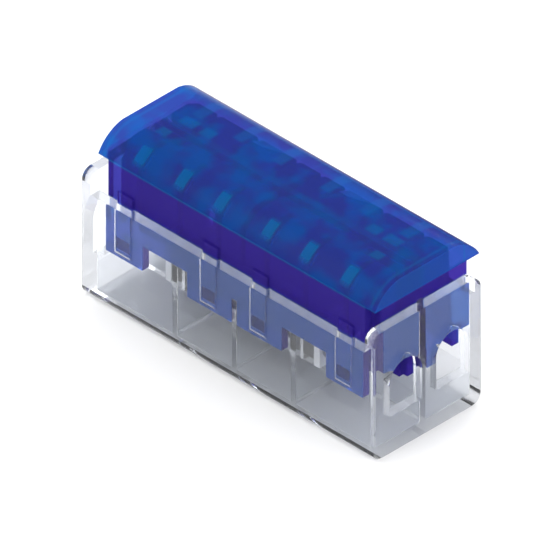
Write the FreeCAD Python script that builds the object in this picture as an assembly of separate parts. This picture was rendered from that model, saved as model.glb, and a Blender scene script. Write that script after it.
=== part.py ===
"""Two-channel sealed splice box: clear tray, tinted snap-on lid, sealing gel and two in-line splices.

Frame: X along the box, Y across it (the latch side is -Y), Z up.
The origin is the middle of the tray's outline, on the face the box stands on. Millimetres.
"""
import math
import os

import FreeCAD
import Part

V = FreeCAD.Vector

# ---- tray -----------------------------------------------------------------
tray_length = 60.6
end_wall_height = 22.6
long_wall_height = 18.9
end_wall = 1.85
front_wall = 1.85
back_wall = 0.95
floor_thickness = 1.1
corner_radius = 1.85
partition_thickness = 1.2
partition_rise = 1.7

# ---- wire openings in the end walls ----------------------------------------
opening_radius = 3.35
opening_sill = 6.5
opening_axis_height = 12.1

# ---- cross ribs that carry the splices -------------------------------------
cradle_height = 8.3
cheek_height = 13.35
cradle_inset = 3.7
cradle_thickness = 1.0
middle_rib_thickness = 0.9
cradle_side_gap = 0.15
rooting = 0.3

# ---- lid --------------------------------------------------------------------
roof_end_inset = 1.5
brim_clearance = 2.6
roof_rise = 3.7
lid_gap = 0.08
lid_end_gap = 0.07
skirt_thickness = 1.4
roof_thickness = 1.2
lip_overhang = 1.2
shoulder_width = 5.07
shoulder_mid_in = 1.92
shoulder_mid_drop = 1.35
inner_shoulder_mid_in = 1.35
inner_shoulder_mid_drop = 1.0
inner_chamfer_in = 2.4
inner_chamfer_drop = 1.2
skirt_bottom = 13.57
leg_bottom = 9.2
corner_cutout = 1.7
corner_leg_length = 7.6
leg_rib_gap = 2.02
middle_slot_gap = 0.1
inner_leg_gap = 0.35
inner_leg_thickness = 1.68
prong_bottom = 10.1
weld = 0.2
rib_root = 0.6
lid_web = 1.2
saddle_thickness = 1.1
saddle_arch_radius = 3.35
web_gap = 0.2
fin_thickness = 1.1
fin_splice_gap = 0.3
fin_depth = 5.4
fin_offsets = (5.0, 13.05, 21.5)
running_gap = 0.1

# ---- guide pads on the lid and their grooves in the tray ---------------------
pad_width = 3.1
pad_proud = 0.35
pad_bottom = 10.3
pad_top = 20.75
catch_height = 1.6
catch_depth = 0.15
groove_side_gap = 0.1
groove_foot_gap = 0.2
groove_depth = 0.45

# ---- in-line splice -----------------------------------------------------------
splice_length = 32.0
splice_width = 6.2
splice_height = 8.4
splice_leg_gap = 0.37
splice_partition_gap = 1.15
sleeve_wall = 0.6
flange_thickness = 1.2
plug_length = 5.0
bore_radius = 2.0
bore_rise = 3.1
funnel_radius = 2.6
funnel_depth = 1.8
bar_width = 4.4
bar_thickness = 1.0
bar_clearance = 0.1
spring_width = 3.6
spring_thickness = 0.35
spring_bend = 0.8
spring_start = 1.2
spring_tip = 4.2
spring_bend_flat = 0.8
spring_rest_gap = 0.02

# ---- gel -----------------------------------------------------------------------
gel_level = 6.3
lid_gel_splice_gap = 2.3

# ---- derived positions -------------------------------------------------------------
half_l = tray_length / 2.0
channel_width = lid_gap + skirt_thickness + splice_leg_gap + splice_width + splice_partition_gap
channel_pitch = partition_thickness + 2 * splice_partition_gap + splice_width
tray_width = front_wall + 2 * channel_width + partition_thickness + back_wall
half_w = tray_width / 2.0
brim_height = end_wall_height + brim_clearance
lid_top_height = brim_height + roof_rise
inner_front = -half_w + front_wall
inner_back = half_w - back_wall
mid_y = (inner_front + inner_back) / 2.0
inner_end = half_l - end_wall
channel_y = (mid_y - channel_pitch / 2.0, mid_y + channel_pitch / 2.0)
skirt_front = inner_front + lid_gap
skirt_back = inner_back - lid_gap
cavity_front = skirt_front + skirt_thickness
cavity_back = skirt_back - skirt_thickness
body_end = inner_end - lid_end_gap
roof_end = half_l - roof_end_inset
cavity_end = body_end - skirt_thickness
lip_tip = half_w + lip_overhang
rib_top = lid_top_height - rib_root
splice_top = cradle_height + splice_height
bore_axis_height = cradle_height + bore_rise
cradle_offset = splice_length / 2.0 - cradle_inset
fin_bottom = splice_top + fin_splice_gap
partition_height = splice_top + partition_rise
lid_gel_bottom = splice_top + lid_gel_splice_gap
corner_leg_start = body_end - corner_cutout
corner_leg_end = corner_leg_start - corner_leg_length
middle_leg_start = cradle_offset - cradle_thickness / 2.0 - leg_rib_gap
middle_leg_end = middle_rib_thickness / 2.0 + middle_slot_gap
pad_offsets = ((middle_leg_end + middle_leg_start) / 2.0, (corner_leg_end + corner_leg_start) / 2.0)


def box(x0, x1, y0, y1, z0, z1):
    """Axis-aligned block between two corners."""
    return Part.makeBox(x1 - x0, y1 - y0, z1 - z0, V(x0, y0, z0))


def mirrored_x(shape):
    """Copy of a shape on the other end of the box."""
    return shape.mirror(V(0, 0, 0), V(1, 0, 0))


def fuse_all(shapes):
    """One solid from several that touch or overlap."""
    result = shapes[0]
    if len(shapes) > 1:
        result = shapes[0].multiFuse(shapes[1:])
    return result.removeSplitter()


def profile_prism(edges, x0, x1):
    """Solid from a closed outline drawn in the Y-Z plane, run from x0 to x1."""
    wire = Part.Wire(edges)
    face = Part.Face(wire)
    face.translate(V(x0, 0, 0))
    return face.extrude(V(x1 - x0, 0, 0))


def rounded_section(x0, x1, height, round_top):
    """Tray section: rounded at the bottom, and at the top when asked."""
    block = box(x0, x1, -half_w, half_w, 0, height)
    chosen = []
    for edge in block.Edges:
        a = edge.Vertexes[0].Point
        b = edge.Vertexes[1].Point
        along_x = abs(a.y - b.y) < 1e-6 and abs(a.z - b.z) < 1e-6
        low = a.z < 1e-6
        if along_x and (low or round_top):
            chosen.append(edge)
    return block.makeFillet(corner_radius, chosen)


def opening_cut(y_centre):
    """Upright wire opening: flat sill, straight sides and a round head."""
    x0 = inner_end - rooting
    length = end_wall + 2 * rooting
    head = Part.makeCylinder(opening_radius, length, V(x0, y_centre, opening_axis_height), V(1, 0, 0))
    shaft = box(x0, x0 + length, y_centre - opening_radius, y_centre + opening_radius,
                opening_sill, opening_axis_height)
    return head.fuse(shaft)


def cross_rib(x_centre, thickness):
    """Rib across both channels with a seat cut out for each splice."""
    x0 = x_centre - thickness / 2.0
    x1 = x_centre + thickness / 2.0
    rib = box(x0, x1, inner_front - rooting, inner_back + rooting, floor_thickness - rooting, cheek_height)
    for y in channel_y:
        half = splice_width / 2.0 + cradle_side_gap
        rib = rib.cut(box(x0 - 1, x1 + 1, y - half, y + half, cradle_height, cheek_height + 1))
    return rib


def make_tray():
    """Clear tray: floor, four walls, long partition, cross ribs and pad grooves."""
    tray = rounded_section(-half_l, half_l, end_wall_height, True)
    tray = tray.cut(box(-inner_end, inner_end, inner_front, inner_back,
                        floor_thickness, end_wall_height + 1))
    tray = tray.cut(box(-inner_end, inner_end, -half_w - 1, half_w + 1,
                        long_wall_height, end_wall_height + 1))
    half_p = partition_thickness / 2.0
    partition = box(-inner_end - rooting, inner_end + rooting, mid_y - half_p, mid_y + half_p,
                    floor_thickness - rooting, partition_height)
    parts = [tray, partition]
    post = box(cavity_end, inner_end + rooting, mid_y - half_p, mid_y + half_p,
               floor_thickness - rooting, end_wall_height)
    parts += [post, mirrored_x(post)]
    parts.append(cross_rib(0.0, middle_rib_thickness))
    parts.append(cross_rib(cradle_offset, cradle_thickness))
    parts.append(cross_rib(-cradle_offset, cradle_thickness))
    tray = fuse_all(parts)
    for y in channel_y:
        cut = opening_cut(y)
        tray = tray.cut(cut)
        tray = tray.cut(mirrored_x(cut))
    half_g = pad_width / 2.0 + groove_side_gap
    for offset in pad_offsets:
        for sign in (-1, 1):
            x = sign * offset
            tray = tray.cut(box(x - half_g, x + half_g, inner_front - groove_depth, inner_front + rooting,
                                pad_bottom - groove_foot_gap, long_wall_height + 1))
    return tray.removeSplitter()


def roof_outer():
    """Lid roof: flat on top, rounded shoulders, a lip past the back wall."""
    y0 = skirt_front
    y1 = lip_tip
    top = lid_top_height
    mid_z = top - shoulder_mid_drop
    a = V(0, y0, brim_height)
    b = V(0, y0 + shoulder_width, top)
    c = V(0, y1 - shoulder_width, top)
    d = V(0, y1, brim_height)
    front = Part.Arc(a, V(0, y0 + shoulder_mid_in, mid_z), b).toShape()
    flat = Part.makeLine(b, c)
    back = Part.Arc(c, V(0, y1 - shoulder_mid_in, mid_z), d).toShape()
    under = Part.makeLine(d, a)
    return profile_prism([front, flat, back, under], -roof_end, roof_end)


def lid_cavity():
    """Space inside the lid, between its skirts and under its roof."""
    inner_top = lid_top_height - roof_thickness
    below = leg_bottom - 2
    a = V(0, cavity_front, below)
    b = V(0, cavity_front, brim_height)
    c = V(0, skirt_front + shoulder_width, inner_top)
    d = V(0, cavity_back - inner_chamfer_in, inner_top)
    e = V(0, cavity_back, inner_top - inner_chamfer_drop)
    f = V(0, cavity_back, below)
    bend = V(0, cavity_front + inner_shoulder_mid_in, inner_top - inner_shoulder_mid_drop)
    edges = [Part.makeLine(a, b), Part.Arc(b, bend, c).toShape(), Part.makeLine(c, d),
             Part.makeLine(d, e), Part.makeLine(e, f), Part.makeLine(f, a)]
    return profile_prism(edges, -cavity_end, cavity_end)


def lid_legs(y0, y1):
    """Legs below the skirt on one long side: one at each end and a pair in the middle."""
    end_leg = box(corner_leg_end, corner_leg_start, y0, y1, leg_bottom, skirt_bottom + weld)
    middle_leg = box(middle_leg_end, middle_leg_start, y0, y1, leg_bottom, skirt_bottom + weld)
    return [end_leg, mirrored_x(end_leg), middle_leg, mirrored_x(middle_leg)]


def lid_pads():
    """Upright guide pads on the latch side, each with a thicker catch at its foot."""
    pads = []
    for offset in pad_offsets:
        for sign in (-1, 1):
            x = sign * offset
            x0 = x - pad_width / 2.0
            x1 = x + pad_width / 2.0
            pads.append(box(x0, x1, skirt_front - pad_proud, skirt_front + weld, pad_bottom, pad_top))
            pads.append(box(x0, x1, cavity_front - weld, cavity_front + catch_depth,
                            pad_bottom, pad_bottom + catch_height))
    return pads


def lid_saddle():
    """Cross wall near an end with a round arch over each wire."""
    x1 = cavity_end
    x0 = x1 - saddle_thickness
    wall = box(x0, x1 + weld, cavity_front - weld, cavity_back + weld, skirt_bottom, rib_top)
    for y in channel_y:
        arch = Part.makeCylinder(saddle_arch_radius, saddle_thickness + 2,
                                 V(x0 - 1, y, opening_axis_height), V(1, 0, 0))
        wall = wall.cut(arch)
    return wall


def beside_partition(x0, x1, z0, z1):
    """A pair of blocks, one each side of the partition, at the inner legs' distance from it."""
    near = partition_thickness / 2.0 + inner_leg_gap
    far = near + inner_leg_thickness
    return [box(x0, x1, mid_y + near, mid_y + far, z0, z1),
            box(x0, x1, mid_y - far, mid_y - near, z0, z1)]


def lid_inner_legs():
    """Legs that flank the partition at the +X end, and the shorter prongs under the end skirt."""
    legs = beside_partition(corner_leg_end, corner_leg_start, leg_bottom, rib_top)
    prongs = beside_partition(cavity_end, body_end, prong_bottom, skirt_bottom + weld)
    return legs + prongs


def lid_fins():
    """Short cross fins under the roof that push the gel round the splices."""
    fins = []
    for offset in fin_offsets:
        x0 = offset - fin_thickness / 2.0
        x1 = offset + fin_thickness / 2.0
        front = box(x0, x1, cavity_front - weld, cavity_front + fin_depth, fin_bottom, rib_top)
        back = box(x0, x1, cavity_back - fin_depth, cavity_back + weld, fin_bottom, rib_top)
        fins += [front, back, mirrored_x(front), mirrored_x(back)]
    return fins


def make_lid():
    """Tinted lid: roof with a back lip, notched skirt, legs, webs, fins, pads and prongs."""
    outer = roof_outer()
    body = box(-body_end, body_end, skirt_front, skirt_back, skirt_bottom, brim_height + weld)
    body = body.cut(box(corner_leg_start, half_l, -half_w, skirt_front + corner_cutout, 0, brim_height))
    body = body.cut(box(-half_l, -corner_leg_start, -half_w, skirt_front + corner_cutout, 0, brim_height))
    shell = fuse_all([outer, body])
    hollow = lid_cavity()
    block_x = corner_leg_start - skirt_thickness
    block_y = skirt_front + corner_cutout + skirt_thickness
    for block in (box(block_x, half_l, -half_w, block_y, 0, lid_top_height),
                  box(-half_l, -block_x, -half_w, block_y, 0, lid_top_height)):
        hollow = hollow.cut(block)
    shell = shell.cut(hollow)
    half_web = lid_web / 2.0
    half_fin = fin_thickness / 2.0
    web_bottom = partition_height + web_gap
    long_web = box(-cavity_end - weld, cavity_end + weld, mid_y - half_web, mid_y + half_web,
                   web_bottom, rib_top)
    cross_web = box(-half_fin, half_fin, cavity_front - weld, cavity_back + weld, web_bottom, rib_top)
    inside = [long_web, cross_web]
    inside += [lid_saddle(), mirrored_x(lid_saddle())]
    inside += lid_fins()
    for piece in lid_inner_legs():
        inside += [piece, mirrored_x(piece)]
    envelope = outer.fuse(box(-half_l, half_l, -half_w, half_w, 0, brim_height + weld / 2.0))
    inside = [piece.common(envelope) for piece in inside]
    parts = [shell] + inside + lid_legs(skirt_front, cavity_front) + lid_legs(cavity_back, skirt_back)
    parts += lid_pads()
    lid = fuse_all(parts)
    half_slot = partition_thickness / 2.0 + running_gap
    slot_inner = cavity_end - saddle_thickness - weld
    for x0, x1 in ((slot_inner, half_l), (-half_l, -slot_inner)):
        lid = lid.cut(box(x0, x1, mid_y - half_slot, mid_y + half_slot, 0, end_wall_height + web_gap))
    return lid.removeSplitter()


def offset_side(points, distance):
    """Path moved sideways by a distance, with mitred corners, in the X-Z plane."""
    count = len(points)
    moved = []
    for i in range(count):
        here = V(points[i][0], 0, points[i][1])
        ahead = V(points[min(i + 1, count - 1)][0], 0, points[min(i + 1, count - 1)][1])
        behind = V(points[max(i - 1, 0)][0], 0, points[max(i - 1, 0)][1])
        before = (here - behind) if i > 0 else (ahead - here)
        after = (ahead - here) if i < count - 1 else (here - behind)
        n0 = V(-before.z, 0, before.x).normalize()
        n1 = V(-after.z, 0, after.x).normalize()
        mean = (n0 + n1).normalize()
        moved.append(here + mean * (distance / mean.dot(n0)))
    return moved


def leaf(points, thickness, y0, y1):
    """Bent strip of spring steel along a path drawn in the X-Z plane."""
    left = offset_side(points, thickness / 2.0)
    right = offset_side(points, -thickness / 2.0)
    outline = left + right[::-1] + [left[0]]
    face = Part.Face(Part.makePolygon([p + V(0, y0, 0) for p in outline]))
    return face.extrude(V(0, y1 - y0, 0))


def make_sleeve(y):
    """Clear splice sleeve, open at both ends."""
    x1 = splice_length / 2.0 - flange_thickness
    half = splice_width / 2.0
    outer = box(-x1, x1, y - half, y + half, cradle_height, splice_top)
    inner = box(-x1 - 1, x1 + 1, y - half + sleeve_wall, y + half - sleeve_wall,
                cradle_height + sleeve_wall, splice_top - sleeve_wall)
    return outer.cut(inner)


def make_plug(y):
    """Entry plug for the +X end of a splice: flange, spigot and funnelled wire bore."""
    x2 = splice_length / 2.0
    x1 = x2 - flange_thickness
    x0 = x1 - plug_length
    half = splice_width / 2.0
    floor = cradle_height + sleeve_wall
    flange = box(x1, x2, y - half, y + half, cradle_height, splice_top)
    spigot = box(x0, x1 + weld, y - half + sleeve_wall, y + half - sleeve_wall,
                 floor, splice_top - sleeve_wall)
    plug = flange.fuse(spigot)
    bore = Part.makeCylinder(bore_radius, x2 - x0 + 2, V(x0 - 1, y, bore_axis_height), V(1, 0, 0))
    funnel = Part.makeCone(bore_radius, funnel_radius, funnel_depth,
                           V(x2 - funnel_depth, y, bore_axis_height), V(1, 0, 0))
    return plug.cut(bore).cut(funnel).removeSplitter()


def bar_span():
    """Half length of the current bar, just short of the two plugs."""
    return splice_length / 2.0 - flange_thickness - plug_length - bar_clearance


def make_bar(y):
    """Current bar on the sleeve's floor that joins the two wires."""
    half = bar_width / 2.0
    z0 = cradle_height + sleeve_wall
    return box(-bar_span(), bar_span(), y - half, y + half, z0, z0 + bar_thickness)


def make_spring(y):
    """Clamp spring for the +X wire: flat under the ceiling, a round bend, a tongue down to the bar."""
    ceiling = splice_top - sleeve_wall - spring_thickness / 2.0 - spring_rest_gap
    bend_x = bar_span() - spring_bend
    bar_top = cradle_height + sleeve_wall + bar_thickness
    tip_z = bar_top + spring_thickness
    points = [(spring_start, ceiling), (bend_x, ceiling)]
    for angle in (60, 30, 0, -30):
        a = math.radians(angle)
        points.append((bend_x + spring_bend * spring_bend_flat * math.cos(a),
                       ceiling - spring_bend + spring_bend * math.sin(a)))
    points.append((spring_tip, tip_z))
    half = spring_width / 2.0
    return leaf(points, spring_thickness, y - half, y + half)


def tray_gel(x0, x1, y0, y1):
    """Gel poured into one cell of the tray up to just under the wire openings."""
    return box(x0, x1, y0, y1, floor_thickness, gel_level)


def tray_gel_cells():
    """The eight cells that the partition and the cross ribs make in the tray."""
    half_p = partition_thickness / 2.0
    half_m = middle_rib_thickness / 2.0
    half_c = cradle_thickness / 2.0
    spans = [(-inner_end, -cradle_offset - half_c), (-cradle_offset + half_c, -half_m),
             (half_m, cradle_offset - half_c), (cradle_offset + half_c, inner_end)]
    cells = []
    for side, y0, y1 in (("front", inner_front, mid_y - half_p), ("back", mid_y + half_p, inner_back)):
        for index, (x0, x1) in enumerate(spans):
            cells.append(("tray_gel_%s_%d" % (side, index + 1), tray_gel(x0, x1, y0, y1)))
    return cells


def lid_gel_cells(lid):
    """The four gel fills moulded up into the lid, one each side of its long and cross webs."""
    x0 = fin_thickness / 2.0
    x1 = cavity_end - saddle_thickness
    half_web = lid_web / 2.0
    cells = []
    sides = (("front", cavity_front, mid_y - half_web), ("back", mid_y + half_web, cavity_back))
    for side, y0, y1 in sides:
        block = box(x0, x1, y0, y1, lid_gel_bottom, lid_top_height)
        for end, shape in (("right", block), ("left", mirrored_x(block))):
            fill = shape.common(lid_cavity()).cut(lid)
            biggest = max(fill.Solids, key=lambda solid: solid.Volume)
            cells.append(("lid_gel_%s_%s" % (side, end), biggest))
    return cells


def splice_parts(side, y):
    """All the pieces of one in-line splice."""
    plug = make_plug(y)
    spring = make_spring(y)
    return [("splice_%s_sleeve" % side, make_sleeve(y)),
            ("splice_%s_plug_right" % side, plug),
            ("splice_%s_plug_left" % side, mirrored_x(plug)),
            ("splice_%s_bar" % side, make_bar(y)),
            ("splice_%s_spring_right" % side, spring),
            ("splice_%s_spring_left" % side, mirrored_x(spring))]


def main():
    """Build every node and write one STEP file for each."""
    os.makedirs("parts", exist_ok=True)
    lid = make_lid()
    nodes = [("tray", make_tray()), ("lid", lid)]
    nodes += tray_gel_cells()
    nodes += lid_gel_cells(lid)
    for side, y in zip(("front", "back"), channel_y):
        nodes += splice_parts(side, y)
    for name, shape in nodes:
        solids = shape.Solids
        solid = solids[0] if len(solids) == 1 else shape
        solid.exportStep("parts/%s.step" % name)
        report = (name, len(solids), shape.isValid(), shape.Volume)
        print("%-26s solids %d  valid %s  volume %9.2f" % report)


main()
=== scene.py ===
# %% [markdown]
# # A sealed splice box: clear tray, tinted lid, gel and two in-line splices
# The hard parts of this object are its plastics. Nearly everything you see is seen through something
# else: the lid's skirt through the tray's wall, the fins through the lid's roof, the splices through
# both. So this lesson is about clear and tinted mouldings, and about gel, which has almost no colour
# and shows only by its shine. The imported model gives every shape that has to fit. Here its two
# mouldings get softened edges, every piece gets a finish, and the gel gets its wet surface.

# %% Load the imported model
import math

import bmesh
import bpy
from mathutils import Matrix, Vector


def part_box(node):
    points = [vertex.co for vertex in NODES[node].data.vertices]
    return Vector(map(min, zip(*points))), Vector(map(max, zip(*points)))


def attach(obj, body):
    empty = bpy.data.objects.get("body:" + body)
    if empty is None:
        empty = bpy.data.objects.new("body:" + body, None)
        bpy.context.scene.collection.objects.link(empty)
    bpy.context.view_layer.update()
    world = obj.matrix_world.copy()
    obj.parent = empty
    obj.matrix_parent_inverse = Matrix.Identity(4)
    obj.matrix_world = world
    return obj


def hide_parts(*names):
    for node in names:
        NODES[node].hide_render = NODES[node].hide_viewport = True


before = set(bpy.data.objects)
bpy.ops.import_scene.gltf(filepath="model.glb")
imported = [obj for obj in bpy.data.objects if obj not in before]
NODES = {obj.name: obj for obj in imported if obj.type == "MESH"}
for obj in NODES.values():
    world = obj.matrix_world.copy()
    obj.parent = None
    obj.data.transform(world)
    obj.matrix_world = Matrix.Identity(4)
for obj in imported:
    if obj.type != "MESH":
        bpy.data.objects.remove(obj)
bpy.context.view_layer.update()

MM = 0.001

# %% [markdown]
# ## The camera
# The box is looked at from above one corner, with all three axes foreshortened alike. That is the
# isometric view: 45 degrees round and 35.26 degrees down. An orthographic camera keeps parallel edges
# parallel, which a lens would not. The camera's distance then changes nothing but clipping.

# %% Camera
ISO_ROUND = 45.0
ISO_DOWN = math.degrees(math.atan(1 / math.sqrt(2)))
FRAME_WIDTH = 80.83 * MM
AIM = Vector((0.0, -1.3 * MM, 13.75 * MM))
STAND_OFF = 0.4
CLIP_NEAR, CLIP_FAR = 0.01, 3.0


def make_camera(round_deg, down_deg, aim, width):
    """Orthographic camera, looking down at the aim point from round_deg about the box."""
    data = bpy.data.cameras.new("camera")
    data.type = "ORTHO"
    data.ortho_scale = width
    data.clip_start = CLIP_NEAR
    data.clip_end = CLIP_FAR
    camera = bpy.data.objects.new("camera", data)
    bpy.context.scene.collection.objects.link(camera)
    a, e = math.radians(round_deg), math.radians(down_deg)
    away = Vector((math.sin(a) * math.cos(e), -math.cos(a) * math.cos(e), math.sin(e)))
    camera.location = aim + away * STAND_OFF
    camera.rotation_euler = away.to_track_quat("Z", "Y").to_euler()
    bpy.context.scene.camera = camera
    return camera


camera = make_camera(ISO_ROUND, ISO_DOWN, AIM, FRAME_WIDTH)
print("camera looks at", tuple(round(v / MM, 1) for v in AIM), "mm")

# %% [markdown]
# ## The studio
# Clear plastic shows the room more than it shows itself: what we read as clear plastic is the floor and
# the lamps, bent and mirrored. So the floor and the air round it are both near white, and the lamps are
# large. A small lamp would give hard sparks and grainy shadows through the tray. The view transform is
# the plain one, because a filmic curve would grey the dye.

# %% Air: pale light from all round
AIR_STRENGTH = 1.0
OVERHEAD = 1.0
HORIZON = 0.62
FADE_TOP = 0.9


def grey(level):
    """A grey as a colour."""
    return (level, level, level, 1)


def make_world():
    """Pale light from all round, brightest overhead."""
    world = bpy.data.worlds.new("studio air")
    world.use_nodes = True
    nodes, links = world.node_tree.nodes, world.node_tree.links
    background = nodes["Background"]
    background.inputs["Strength"].default_value = AIR_STRENGTH
    place = nodes.new("ShaderNodeTexCoord")
    split = nodes.new("ShaderNodeSeparateXYZ")
    fade = nodes.new("ShaderNodeMapRange")
    fade.inputs["From Min"].default_value = 0.0
    fade.inputs["From Max"].default_value = FADE_TOP
    mix = nodes.new("ShaderNodeMix")
    mix.data_type = "RGBA"
    mix.inputs["A"].default_value = grey(HORIZON)
    mix.inputs["B"].default_value = grey(OVERHEAD)
    links.new(place.outputs["Generated"], split.inputs["Vector"])
    links.new(split.outputs["Z"], fade.inputs["Value"])
    links.new(fade.outputs["Result"], mix.inputs["Factor"])
    links.new(mix.outputs["Result"], background.inputs["Color"])
    bpy.context.scene.world = world
    return world


bpy.context.scene.view_settings.view_transform = "Standard"
print("air:", make_world().name)

# %% Floor
FLOOR_HALF = 1.2
FLOOR_DROP = 0.02 * MM
FLOOR_ROUGHNESS = 0.9
FLOOR_MOTTLE = 35.0
FLOOR_GREYS = (0.90, 0.94)


def make_floor():
    """Pale, slightly mottled floor, a hair below the plane that the box stands on."""
    mesh = bpy.data.meshes.new("floor")
    h = FLOOR_HALF
    mesh.from_pydata([(-h, -h, 0), (h, -h, 0), (h, h, 0), (-h, h, 0)], [], [(0, 1, 2, 3)])
    floor = bpy.data.objects.new("floor", mesh)
    floor.location.z = -FLOOR_DROP
    bpy.context.scene.collection.objects.link(floor)
    material = bpy.data.materials.new("floor paper")
    material.use_nodes = True
    nodes, links = material.node_tree.nodes, material.node_tree.links
    shader = nodes["Principled BSDF"]
    shader.inputs["Roughness"].default_value = FLOOR_ROUGHNESS
    noise = nodes.new("ShaderNodeTexNoise")
    noise.inputs["Scale"].default_value = FLOOR_MOTTLE
    tint = nodes.new("ShaderNodeMix")
    tint.data_type = "RGBA"
    tint.inputs["A"].default_value = grey(FLOOR_GREYS[0])
    tint.inputs["B"].default_value = grey(FLOOR_GREYS[1])
    links.new(noise.outputs["Fac"], tint.inputs["Factor"])
    links.new(tint.outputs["Result"], shader.inputs["Base Color"])
    mesh.materials.append(material)
    return floor


print("floor at z", round(make_floor().location.z / MM, 2), "mm")

# %% Lamps
LAMP_AIM = Vector((0, 0, 0.01))
LAMPS = (
    # name, place, size, power
    ("key softbox", (-0.25, -0.35, 0.45), 0.45, 1.6),
    ("end softbox", (0.45, -0.05, 0.30), 0.35, 1.0),
    ("back softbox", (-0.10, 0.45, 0.40), 0.30, 1.5),
)


def make_lamp(name, location, size, power):
    """Square soft lamp turned to the lower half of the box."""
    data = bpy.data.lights.new(name, "AREA")
    data.shape = "SQUARE"
    data.size = size
    data.energy = power
    lamp = bpy.data.objects.new(name, data)
    lamp.location = location
    lamp.rotation_euler = (Vector(location) - LAMP_AIM).to_track_quat("Z", "Y").to_euler()
    bpy.context.scene.collection.objects.link(lamp)
    return lamp


print("lamps:", [make_lamp(*lamp).name for lamp in LAMPS])

# %% [markdown]
# ## Shader helpers
# A moulding is never quite even: its roughness drifts a little, and faint flow lines run along the box.
# Both come from procedural noise, measured in the piece's own millimetres, so that a pattern stays where
# it is when a body moves. The numbers that are the same all over sit on the shader's own sockets.

# %% A shader with slow drift in its roughness and a fine ripple
NOISE_SPAN = (0.3, 0.7)
DRIFT_DETAIL = 3.0
RIPPLE_DETAIL = 2.0


def add_node(material, kind, **settings):
    """New node in a material, with some of its sockets set by name."""
    node = material.node_tree.nodes.new(kind)
    for socket, value in settings.items():
        node.inputs[socket.replace("_", " ")].default_value = value
    return node


def join(material, out_socket, in_socket):
    """Link two sockets of one material."""
    material.node_tree.links.new(out_socket, in_socket)


def blank_material(name):
    """New material with its Principled shader, both returned."""
    material = bpy.data.materials.new(name)
    material.use_nodes = True
    return material, material.node_tree.nodes["Principled BSDF"]


def noise_in_mm(material, scale, detail, stretch=(1, 1, 1)):
    """Noise with about scale features to the millimetre, stretched along some axes."""
    place = material.node_tree.nodes.new("ShaderNodeTexCoord")
    squeeze = add_node(material, "ShaderNodeMapping", Scale=stretch)
    noise = add_node(material, "ShaderNodeTexNoise", Scale=scale / MM, Detail=detail)
    join(material, place.outputs["Object"], squeeze.inputs["Vector"])
    join(material, squeeze.outputs["Vector"], noise.inputs["Vector"])
    return noise.outputs["Fac"]


def step(material, value, low, high, start=0.0, end=1.0):
    """Ramp from start to end as a value goes from low to high."""
    node = add_node(material, "ShaderNodeMapRange",
                    From_Min=low, From_Max=high, To_Min=start, To_Max=end)
    join(material, value, node.inputs["Value"])
    return node.outputs["Result"]


def drift(material, socket, scale, low, high, stretch=(1, 1, 1)):
    """Drives a socket between two values by slow noise, which is returned."""
    noise = noise_in_mm(material, scale, DRIFT_DETAIL, stretch)
    join(material, step(material, noise, *NOISE_SPAN, low, high), socket)
    return noise


def ripple(material, shader, scale, height, stretch=(1, 1, 1)):
    """Fine bump from noise, with its height given in metres."""
    bump = add_node(material, "ShaderNodeBump", Strength=1.0, Distance=height)
    noise = noise_in_mm(material, scale, RIPPLE_DETAIL, stretch)
    join(material, noise, bump.inputs["Height"])
    join(material, bump.outputs["Normal"], shader.inputs["Normal"])


print("noise between", NOISE_SPAN[0], "and", NOISE_SPAN[1], "is used")

# %% [markdown]
# ## Clear moulded plastic
# The tray is clear polycarbonate, whose real index is near 1.58. In this view that index makes every
# square corner of the tray dark: a ray that enters one face meets the next at such a slant that all of
# it is thrown back, towards the shaded floor under the box. That starts above an index of the square
# root of 4/3, which is 1.155. Just below it about a third is thrown back, so the corners still glint and
# the tray stays light. So the tray's index is 1.147. A thin polish coat puts back some of the shine that
# the low index loses, and a clarity a little below 1 leaves a faint haze in the plastic.

# %% Clear tray plastic
FLOW = (0.25, 1.0, 1.0)
DRIFT_SCALE = 0.12
RIPPLE_SCALE = 0.25


def clear_plastic(name, colour, clarity, ior, rough, ripple_height, polish=0.0, polish_rough=0.08):
    """See-through moulded plastic: clarity 1 is water-clear, less is a haze in the plastic."""
    material, shader = blank_material(name)
    shader.inputs["Base Color"].default_value = colour
    shader.inputs["Transmission Weight"].default_value = clarity
    shader.inputs["IOR"].default_value = ior
    shader.inputs["Coat Weight"].default_value = polish
    shader.inputs["Coat Roughness"].default_value = polish_rough
    drift(material, shader.inputs["Roughness"], DRIFT_SCALE, *rough, FLOW)
    ripple(material, shader, RIPPLE_SCALE, ripple_height, FLOW)
    return material


tray_clear = clear_plastic("clear tray plastic", (0.915, 0.93, 0.955, 1), clarity=0.98, ior=1.147,
                           rough=(0.01, 0.05), ripple_height=0.002 * MM, polish=0.14)
print("made:", tray_clear.name)

# %% [markdown]
# ## Tinted plastic for the lid
# The lid is moulded in the same plastic with blue dye all through it, and it is cloudier than the tray.
# How deep the dye looks depends on how much plastic the light has crossed. Above the brim that is one
# thin roof, which looks royal blue. Below the brim the light runs down the length of a skirt and turns
# violet. The skirts' outer faces inside the tray are lit through its clear walls, and that light is
# painted into their colour as a bluer blue. A real absorbing volume would work all this out, but slowly
# and with much noise. So the dye's colour and the painted light are mixed by place, and these helpers
# measure places on the lid.

# %% Helpers that measure places
SOFT_MM = 0.12


def math_node(material, operation, first, second=None):
    """Math node fed by sockets or numbers, and its output."""
    node = material.node_tree.nodes.new("ShaderNodeMath")
    node.operation = operation
    for index, value in enumerate((first, second)):
        if value is None:
            continue
        if isinstance(value, (int, float)):
            node.inputs[index].default_value = value
        else:
            join(material, value, node.inputs[index])
    return node.outputs["Value"]


def both(material, first, second):
    """Product: 1 only where both are 1, or a map turned down by a number."""
    return math_node(material, "MULTIPLY", first, second)


def either(material, first, *others):
    """The largest of several maps."""
    for other in others:
        first = math_node(material, "MAXIMUM", first, other)
    return first


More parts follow.
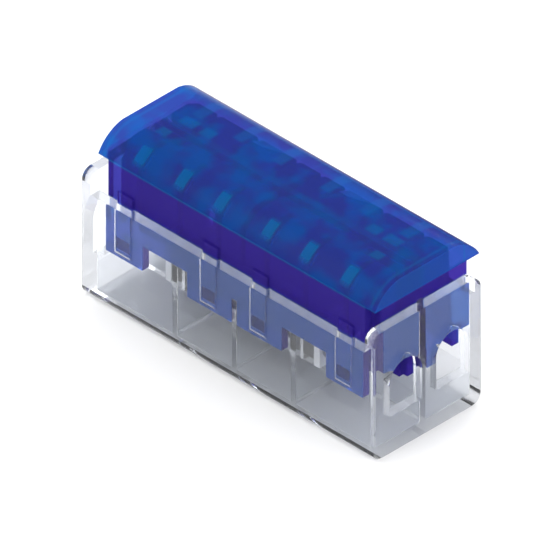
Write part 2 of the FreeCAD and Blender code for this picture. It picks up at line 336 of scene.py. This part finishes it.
def above(material, value, low_mm, high_mm, strength=1.0):
    """0 below one place and full strength above another."""
    return step(material, value, low_mm * MM, high_mm * MM, 0.0, strength)


def below(material, value, low_mm, high_mm):
    """1 below one place and 0 above another."""
    return step(material, value, low_mm * MM, high_mm * MM, 1.0, 0.0)


def band(material, value, centre_mm, half_mm, soft_mm=SOFT_MM):
    """1 within half_mm of a place and 0 away from it, with a soft edge."""
    off = math_node(material, "SUBTRACT", value, centre_mm * MM)
    return below(material, math_node(material, "ABSOLUTE", off), half_mm - soft_mm, half_mm + soft_mm)


def place_axes(material):
    """The three object coordinates of a point, as separate sockets."""
    place = material.node_tree.nodes.new("ShaderNodeTexCoord")
    split = material.node_tree.nodes.new("ShaderNodeSeparateXYZ")
    join(material, place.outputs["Object"], split.inputs["Vector"])
    return split.outputs["X"], split.outputs["Y"], split.outputs["Z"]


def colour_mix(material, factor, low_colour, high_colour):
    """Mix of two colours, each a colour or a socket, by a factor."""
    node = material.node_tree.nodes.new("ShaderNodeMix")
    node.data_type = "RGBA"
    join(material, factor, node.inputs["Factor"])
    for socket, value in (("A", low_colour), ("B", high_colour)):
        if isinstance(value, tuple):
            node.inputs[socket].default_value = value
        else:
            join(material, value, node.inputs[socket])
    return node.outputs["Result"]


lid_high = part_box("lid")[1]
ROOF_RISE = 3.7
BRIM = lid_high.z / MM - ROOF_RISE
print("the brim is at z", round(BRIM, 2), "mm")

# %% [markdown]
# ## Painted light over the roots under the roof
# Under the roof stand the lid's skirts, its long and cross webs, twelve short fins and the inner legs.
# Where one of them roots, the plastic is solid behind the surface, and the light that runs through it
# is painted on the roof as a brighter blue than over the hollows. The places come from the imported
# lid: the fins repeat at three distances from the middle, on both sides, so places along the box are
# measured both ways from mid-length. The front fins get the most painted light, on the shoulder that
# faces the key lamp, and the back ones get less.

# %% Map of the painted light over the roots
# Each place is its distance from the middle and half of its width, both in millimetres.
FINS_AT = (5.0, 13.05, 21.5)
FIN_HALF = 1.0
FRONT_FIN = {"centre_mm": -7.2, "half_mm": 1.25, "soft_mm": 0.35}
BACK_FIN = {"centre_mm": 6.5, "half_mm": 2.6}
END_SKIRT = {"centre_mm": 27.7, "half_mm": 0.25}
LONG_WEB = {"centre_mm": 0.45, "half_mm": 0.6}
CROSS_WEB = {"centre_mm": 0.0, "half_mm": 0.35}
LEGS_BEHIND = ((21.2, 1.5), (17.3, 1.2))
BEHIND_WEB = (2.1, 1.0)
LEG_BEFORE = (22.2, 1.0)
BEFORE_WEB = (-2.2, 0.9)
CRISP = 0.2
# how much painted light each kind of root gets
SHOWS = {"back fin": 0.45, "skirt": 0.5, "web": 0.12, "leg": 0.6}


def painted_root_light_map(material, x, y):
    """How much light is painted on the roof over the roots: 1 on a front fin's root, less on the others.
    """
    end_x = math_node(material, "ABSOLUTE", x)
    fins = either(material, *(band(material, end_x, at, FIN_HALF, CRISP) for at in FINS_AT))
    back = both(material, band(material, y, **BACK_FIN), SHOWS["back fin"])
    fins = both(material, fins, either(material, band(material, y, **FRONT_FIN), back))
    skirts = both(material, band(material, end_x, **END_SKIRT), SHOWS["skirt"])
    webs = either(material, band(material, y, **LONG_WEB), band(material, x, **CROSS_WEB))
    webs = both(material, webs, SHOWS["web"])
    behind = either(material, *(band(material, end_x, *leg, CRISP) for leg in LEGS_BEHIND))
    behind = both(material, behind, band(material, y, *BEHIND_WEB, CRISP))
    before = band(material, end_x, *LEG_BEFORE, CRISP)
    before = both(material, before, band(material, y, *BEFORE_WEB, CRISP))
    legs = both(material, either(material, behind, before), SHOWS["leg"])
    return either(material, fins, legs, skirts, webs)


print("roots mapped:", 4 * len(FINS_AT), "fins, two webs, the end skirts and the inner legs")

# %% [markdown]
# ## Places on the skirts and the lip
# Four pads run down the latch side, and each ends in a thick catch that looks darker. The lip over the
# back is seen nearly edge on, so its dye is deepest. The last map finds the skirts' outermost faces as
# far up as the tray's walls cover them, where the light that comes in through the walls is painted on.
# It leaves out the prong beside the front wire opening, because that one is seen directly through the
# opening, without plastic in front of it.

# %% Maps of the catches, the lip and the walls
PADS_AT = (5.17, 22.88)
PAD_HALF = 1.4
CATCH = {"centre_mm": 11.9, "half_mm": 1.0}
PAD_FACE = (-7.6, -7.4)
OVER_SKIRT = (7.2, 9.2)
OVER_SKIRT_DEPTH = 0.5
LIP_EDGE = (9.5, 10.0)
END_SKIRT_FACE = (28.15, 28.25)
END_WALL_TOP = (22.2, 22.8)
PRONG = {"centre_mm": -1.7, "half_mm": 0.7}
PRONG_TOP = (13.4, 13.6)
FRONT_SKIRT_FACE = (-9.15, -9.05)
BACK_SKIRT_FACE = (9.95, 10.05)
LONG_WALL_TOP = (18.2, 19.2)


def catch_map(material, x, y, z):
    """1 on the thick catches at the feet of the four latch-side pads."""
    end_x = math_node(material, "ABSOLUTE", x)
    feet = either(material, *(band(material, end_x, at, PAD_HALF) for at in PADS_AT))
    feet = both(material, feet, band(material, z, **CATCH))
    return both(material, feet, below(material, y, *PAD_FACE))


def lip_map(material, y):
    """How deep the dye looks over the back skirt and out along the lip's edge."""
    over_skirt = above(material, y, *OVER_SKIRT, OVER_SKIRT_DEPTH)
    return either(material, over_skirt, above(material, y, *LIP_EDGE))


def painted_wall_light_map(material, x, y, z):
    """1 on the lid's outermost faces as far up as the tray's walls cover them, where wall light is
    painted.
    """
    end = above(material, math_node(material, "ABSOLUTE", x), *END_SKIRT_FACE)
    end = both(material, end, below(material, z, *END_WALL_TOP))
    prong = both(material, band(material, y, **PRONG), below(material, z, *PRONG_TOP))
    end = both(material, end, math_node(material, "SUBTRACT", 1.0, prong))
    front = below(material, y, *FRONT_SKIRT_FACE)
    sides = either(material, front, above(material, y, *BACK_SKIRT_FACE))
    sides = both(material, sides, below(material, z, *LONG_WALL_TOP))
    return either(material, end, sides)


print("places mapped:", 2 * len(PADS_AT), "catches, the lip and the faces behind the walls")

# %% [markdown]
# ## The lid's dye and painted light
# Now the colours are laid over each other. The skirts start violet, get a painted bluer light behind the
# tray's walls and turn darker on the catches. The roof wanders between two blues in slow clouds, deepens
# towards the lip, and is painted lighter on its flat ends, because the one in view faces away from the
# key lamp. Painted light over the roots and two painted highlights, fine lines along the front brim and
# over the back skirt, are brightest and go on last. The lid's index is kept close to 1, so that what lies
# behind the roof shows through it almost unbent.

# %% Tinted lid plastic
SKIRT_VIOLET = (0.064, 0.035, 0.40, 1)
# painted light: the skirts' colour where light through the tray's walls falls on them
SKIRT_PAINTED_WALL_LIGHT = (0.045, 0.165, 0.58, 1)
CATCH_BLUE = (0.003, 0.028, 0.21, 1)
ROOF_BLUE = (0.036, 0.060, 0.37, 1)
ROOF_CLOUD = (0.014, 0.110, 0.46, 1)
LIP_BLUE = (0.012, 0.024, 0.15, 1)
# painted light: the lighter blue on the roof's flat end faces
END_FACE_PAINTED_LIGHT = (0.030, 0.125, 0.56, 1)
# painted light: the brighter blue over the roots and along the two highlight lines
ROOT_PAINTED_LIGHT = (0.010, 0.18, 0.52, 1)
CLOUD_SCALE = 0.22
CLOUD_DETAIL = 2.0
CLOUD_SPAN = (0.42, 0.62)
ROOF_END_FACE = (28.68, 28.76)
FRONT_FACE = (-8.0, -7.8)
BRIM_BLEND = 0.1
# painted highlights: two fine bright lines, along the front brim and over the back skirt
BRIM_HIGHLIGHT = {"centre_mm": BRIM, "half_mm": 0.16, "soft_mm": 0.08}
LIP_HIGHLIGHT = {"centre_mm": 9.25, "half_mm": 0.14, "soft_mm": 0.08}
HIGHLIGHT_STRENGTH = 0.8


def roof_dye_and_painted_light(material, x, y):
    """The roof's colour: clouds of two blues, a deep lip and painted lighter end faces."""
    clouds = noise_in_mm(material, CLOUD_SCALE, CLOUD_DETAIL)
    roof = colour_mix(material, step(material, clouds, *CLOUD_SPAN), ROOF_BLUE, ROOF_CLOUD)
    roof = colour_mix(material, lip_map(material, y), roof, LIP_BLUE)
    # painted light: the flat end faces are painted a lighter blue
    end_face = above(material, math_node(material, "ABSOLUTE", x), *ROOF_END_FACE)
    return colour_mix(material, end_face, roof, END_FACE_PAINTED_LIGHT)


def painted_light_map(material, x, y, z, on_roof):
    """Painted light: over the roots under the roof, and the two painted highlight lines."""
    ribs = both(material, painted_root_light_map(material, x, y), on_roof)
    front = below(material, y, *FRONT_FACE)
    # painted highlights along the front brim and over the back skirt
    brim_highlight = both(material, band(material, z, **BRIM_HIGHLIGHT), front)
    lip_highlight = both(material, band(material, y, **LIP_HIGHLIGHT), on_roof)
    lines = both(material, either(material, brim_highlight, lip_highlight), HIGHLIGHT_STRENGTH)
    return either(material, ribs, lines)


def make_lid_plastic():
    """Blue plastic whose dye deepens down the skirts, with painted light over the roots and behind the
    walls.
    """
    material = clear_plastic("tinted lid plastic", ROOF_BLUE, clarity=0.62, ior=1.03, rough=(0.05, 0.14),
                             ripple_height=0.002 * MM, polish=0.04, polish_rough=0.25)
    x, y, z = place_axes(material)
    # painted light: the skirts turn bluer where light through the tray's walls reaches them
    skirt = colour_mix(material, painted_wall_light_map(material, x, y, z), SKIRT_VIOLET, SKIRT_PAINTED_WALL_LIGHT)
    skirt = colour_mix(material, catch_map(material, x, y, z), skirt, CATCH_BLUE)
    on_roof = above(material, z, BRIM - BRIM_BLEND, BRIM + BRIM_BLEND)
    body = colour_mix(material, on_roof, skirt, roof_dye_and_painted_light(material, x, y))
    # painted light over the roots and the painted highlight lines go on last
    dye_and_painted_light = colour_mix(material, painted_light_map(material, x, y, z, on_roof), body, ROOT_PAINTED_LIGHT)
    join(material, dye_and_painted_light, material.node_tree.nodes["Principled BSDF"].inputs["Base Color"])
    return material


lid_blue = make_lid_plastic()
print("made:", lid_blue.name, "with", len(lid_blue.node_tree.nodes), "nodes")

# %% [markdown]
# ## Rounded edges
# A moulding has no knife edges: every corner has a small radius, which catches a thin line of light.
# The imported mouldings are sharp, because the radius matters to nothing that fits. Here each gets a
# softened copy. First the flat faces are joined up again, so that only true edges are left, then those
# edges are bevelled by a tenth of a millimetre. A bevel shader could fake the same lines, but not on the
# outline and not in the meshes themselves.

# %% Soften the tray and the lid
SEAM = 0.002 * MM
FLAT_WITHIN = math.radians(0.6)
SHARP_FROM = math.radians(28)
TRAY_ROUND = 0.12 * MM
LID_ROUND = 0.10 * MM


def joined_up(node):
    """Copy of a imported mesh, and an editor on it in which only true edges are left."""
    mesh = NODES[node].data.copy()
    build = bmesh.new()
    build.from_mesh(mesh)
    bmesh.ops.remove_doubles(build, verts=build.verts, dist=SEAM)
    bmesh.ops.dissolve_limit(build, angle_limit=FLAT_WITHIN, verts=build.verts, edges=build.edges)
    return mesh, build


def round_edges(build, radius, segments):
    """Bevels every sharp edge."""
    sharp = [e for e in build.edges if e.calc_face_angle(0) > SHARP_FROM]
    bmesh.ops.bevel(build, geom=sharp, offset=radius, offset_type="OFFSET", segments=segments,
                    profile=0.5, affect="EDGES", clamp_overlap=True)


def soften(node, piece_name, body, radius, material):
    """Copy of a moulding with its sharp edges rounded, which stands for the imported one."""
    mesh, build = joined_up(node)
    round_edges(build, radius, 2)
    build.to_mesh(mesh)
    loose = sum(1 for e in build.edges if not e.is_manifold)
    build.free()
    mesh.name = piece_name
    mesh.materials.clear()
    mesh.materials.append(material)
    piece = bpy.data.objects.new(piece_name, mesh)
    bpy.context.scene.collection.objects.link(piece)
    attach(piece, body)
    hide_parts(node)
    print(piece_name, len(mesh.polygons), "faces,", loose, "open edges")
    return piece


soften("tray", "tray_moulding", "box", TRAY_ROUND, tray_clear)
soften("lid", "lid_moulding", "lid", LID_ROUND, lid_blue)

# %% [markdown]
# ## Splices
# Each splice is a clear sleeve with a frosted plug at each end, and inside it a tinned copper bar with
# a steel clamp spring at each end. The sleeve is clearer than the plugs, because an electrician looks
# through it to see whether the wire is home. The metal parts get real metal: tin is pale and a little
# blotchy, spring steel is greyer and brushed along the strip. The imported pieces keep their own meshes
# here, and only their finish changes.

# %% Splice finishes
sleeve_clear = clear_plastic("clear sleeve plastic", (0.93, 0.94, 0.96, 1), clarity=0.86, ior=1.1,
                             rough=(0.12, 0.25), ripple_height=0.001 * MM)
plug_frost = clear_plastic("frosted plug plastic", (0.88, 0.90, 0.93, 1), clarity=0.35, ior=1.1,
                           rough=(0.25, 0.45), ripple_height=0.004 * MM)
METAL_DRIFT = 1.5
METAL_GRAIN = 4.0
METAL_LIFT = 1.12
ALONG_STRIP = (0.1, 1, 1)


def metal(name, colour, rough, grain_height, stretch=(1, 1, 1)):
    """Bare metal with a drifting roughness and a fine grain."""
    material, shader = blank_material(name)
    shader.inputs["Metallic"].default_value = 1.0
    noise = drift(material, shader.inputs["Roughness"], METAL_DRIFT, *rough, stretch)
    light = tuple(min(1.0, c * METAL_LIFT) for c in colour[:3]) + (1,)
    join(material, colour_mix(material, noise, colour, light), shader.inputs["Base Color"])
    ripple(material, shader, METAL_GRAIN, grain_height, stretch)
    return material


bar_tin = metal("tinned copper", (0.83, 0.83, 0.82, 1), (0.22, 0.40), 0.004 * MM)
spring_steel = metal("brushed spring steel", (0.70, 0.71, 0.73, 1), (0.18, 0.35), 0.006 * MM, ALONG_STRIP)
FINISHES = {"sleeve": sleeve_clear, "plug": plug_frost, "bar": bar_tin, "spring": spring_steel}


def finish_splices():
    """Gives each splice node the finish that its name asks for."""
    count = 0
    for name, node in NODES.items():
        for word, material in FINISHES.items():
            if name.startswith("splice_") and word in name:
                node.data.materials.clear()
                node.data.materials.append(material)
                count += 1
    return count


print("finished", finish_splices(), "splice pieces")

# %% [markdown]
# ## Gel
# The box is sold with soft clear gel in both halves, which closes round the wires and keeps water out.
# It has almost no colour, so its shape is what we model. Gel wets plastic: it climbs a little up every
# wall and its middle lies lower, like water in a glass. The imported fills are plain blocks. Each tray
# fill is remade as a closed pool with that curved top, a hair clear of the walls. Gel that bent light
# would make the tray's lower half dark, so the gel is a thin veil instead: a low alpha, a wet shine.

# %% Gel finish
GEL_COLOUR = (0.86, 0.92, 0.98, 1)
GEL_VEIL = 0.08
GEL_INDEX = 1.41
GEL_DRIFT = 0.3
GEL_ROUGH = (0.02, 0.10)
GEL_RIPPLE = 0.35
GEL_RIPPLE_HEIGHT = 0.01 * MM


def make_gel():
    """Clear soft gel, nearly unseen, with a wet shine."""
    material, shader = blank_material("sealing gel")
    shader.inputs["Base Color"].default_value = GEL_COLOUR
    shader.inputs["Alpha"].default_value = GEL_VEIL
    shader.inputs["IOR"].default_value = GEL_INDEX
    drift(material, shader.inputs["Roughness"], GEL_DRIFT, *GEL_ROUGH)
    ripple(material, shader, GEL_RIPPLE, GEL_RIPPLE_HEIGHT)
    return material


gel_clear = make_gel()
print("made:", gel_clear.name)

# %% Gel pools in the tray
WALL_GAP = 0.04 * MM
CLIMB = 0.35 * MM
CLIMB_REACH = 0.8 * MM
SWELL = 0.015 * MM
SWELL_X, SWELL_Y = 1.7 * MM, 1.3 * MM
SWELL_SHIFT = 0.6
ALONG, ACROSS = 26, 22


def pool_height(x, y, low, high):
    """Height of a pool's top: the fill's full height at the walls and lower in the middle."""
    to_wall = min(x - low.x, high.x - x, y - low.y, high.y - y)
    swell = SWELL * math.sin(x / SWELL_X + SWELL_SHIFT) * math.sin(y / SWELL_Y)
    return high.z - CLIMB * (1.0 - math.exp(-max(0.0, to_wall) / CLIMB_REACH)) + swell


def crowd(i, count):
    """Share from 0 to 1, with the steps crowded towards both ends."""
    return 0.5 - 0.5 * math.cos(math.pi * i / count)


def gel_pool(node):
    """Closed pool of gel with a curved top, in place of one packed fill."""
    gap = Vector((WALL_GAP, WALL_GAP, WALL_GAP))
    low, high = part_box(node)
    low, high = low + gap, high - gap
    build = bmesh.new()
    top, bottom = [], []
    for i in range(ALONG + 1):
        x = low.x + (high.x - low.x) * crowd(i, ALONG)
        for j in range(ACROSS + 1):
            y = low.y + (high.y - low.y) * crowd(j, ACROSS)
            top.append(build.verts.new((x, y, pool_height(x, y, low, high))))
            bottom.append(build.verts.new((x, y, low.z)))
    row = ACROSS + 1
    for i in range(ALONG):
        for j in range(ACROSS):
            a, b, c, d = i * row + j, (i + 1) * row + j, (i + 1) * row + j + 1, i * row + j + 1
            build.faces.new((top[a], top[b], top[c], top[d]))
            build.faces.new((bottom[d], bottom[c], bottom[b], bottom[a]))
    rim = [i * row for i in range(ALONG + 1)]
    rim += [ALONG * row + j for j in range(1, ACROSS + 1)]
    rim += [i * row + ACROSS for i in range(ALONG - 1, -1, -1)]
    rim += [j for j in range(ACROSS - 1, 0, -1)]
    for a, b in zip(rim, rim[1:] + rim[:1]):
        build.faces.new((bottom[a], bottom[b], top[b], top[a]))
    bmesh.ops.recalc_face_normals(build, faces=build.faces)
    mesh = bpy.data.meshes.new(node + "_pool")
    build.to_mesh(mesh)
    build.free()
    mesh.shade_smooth()
    mesh.materials.append(gel_clear)
    pool = bpy.data.objects.new(node + "_pool", mesh)
    bpy.context.scene.collection.objects.link(pool)
    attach(pool, "box")
    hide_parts(node)
    return pool


pools = [gel_pool(name) for name in sorted(NODES) if name.startswith("tray_gel")]
print("made", len(pools), "gel pools in the tray")

# %% [markdown]
# ## Gel in the lid
# The lid's gel was poured with the lid upside down and hangs on by its own tack. Its shape is cut by
# the fins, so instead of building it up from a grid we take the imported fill, shrink it a hair off the
# plastic and round its corners. The helpers that softened the mouldings do most of the work.

# %% Hanging gel
GEL_ROUND = 0.22 * MM


def hanging_gel(node):
    """Softened copy of one packed lid fill, a hair clear of the plastic round it."""
    mesh, build = joined_up(node)
    build.normal_update()
    for vertex in build.verts:
        vertex.co -= vertex.normal * WALL_GAP
    round_edges(build, GEL_ROUND, 3)
    build.to_mesh(mesh)
    build.free()
    mesh.name = node + "_fill"
    mesh.materials.clear()
    mesh.materials.append(gel_clear)
    fill = bpy.data.objects.new(node + "_fill", mesh)
    bpy.context.scene.collection.objects.link(fill)
    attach(fill, "lid")
    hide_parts(node)
    return fill


fills = [hanging_gel(name) for name in sorted(NODES) if name.startswith("lid_gel")]
print("made", len(fills), "hanging fills in the lid")
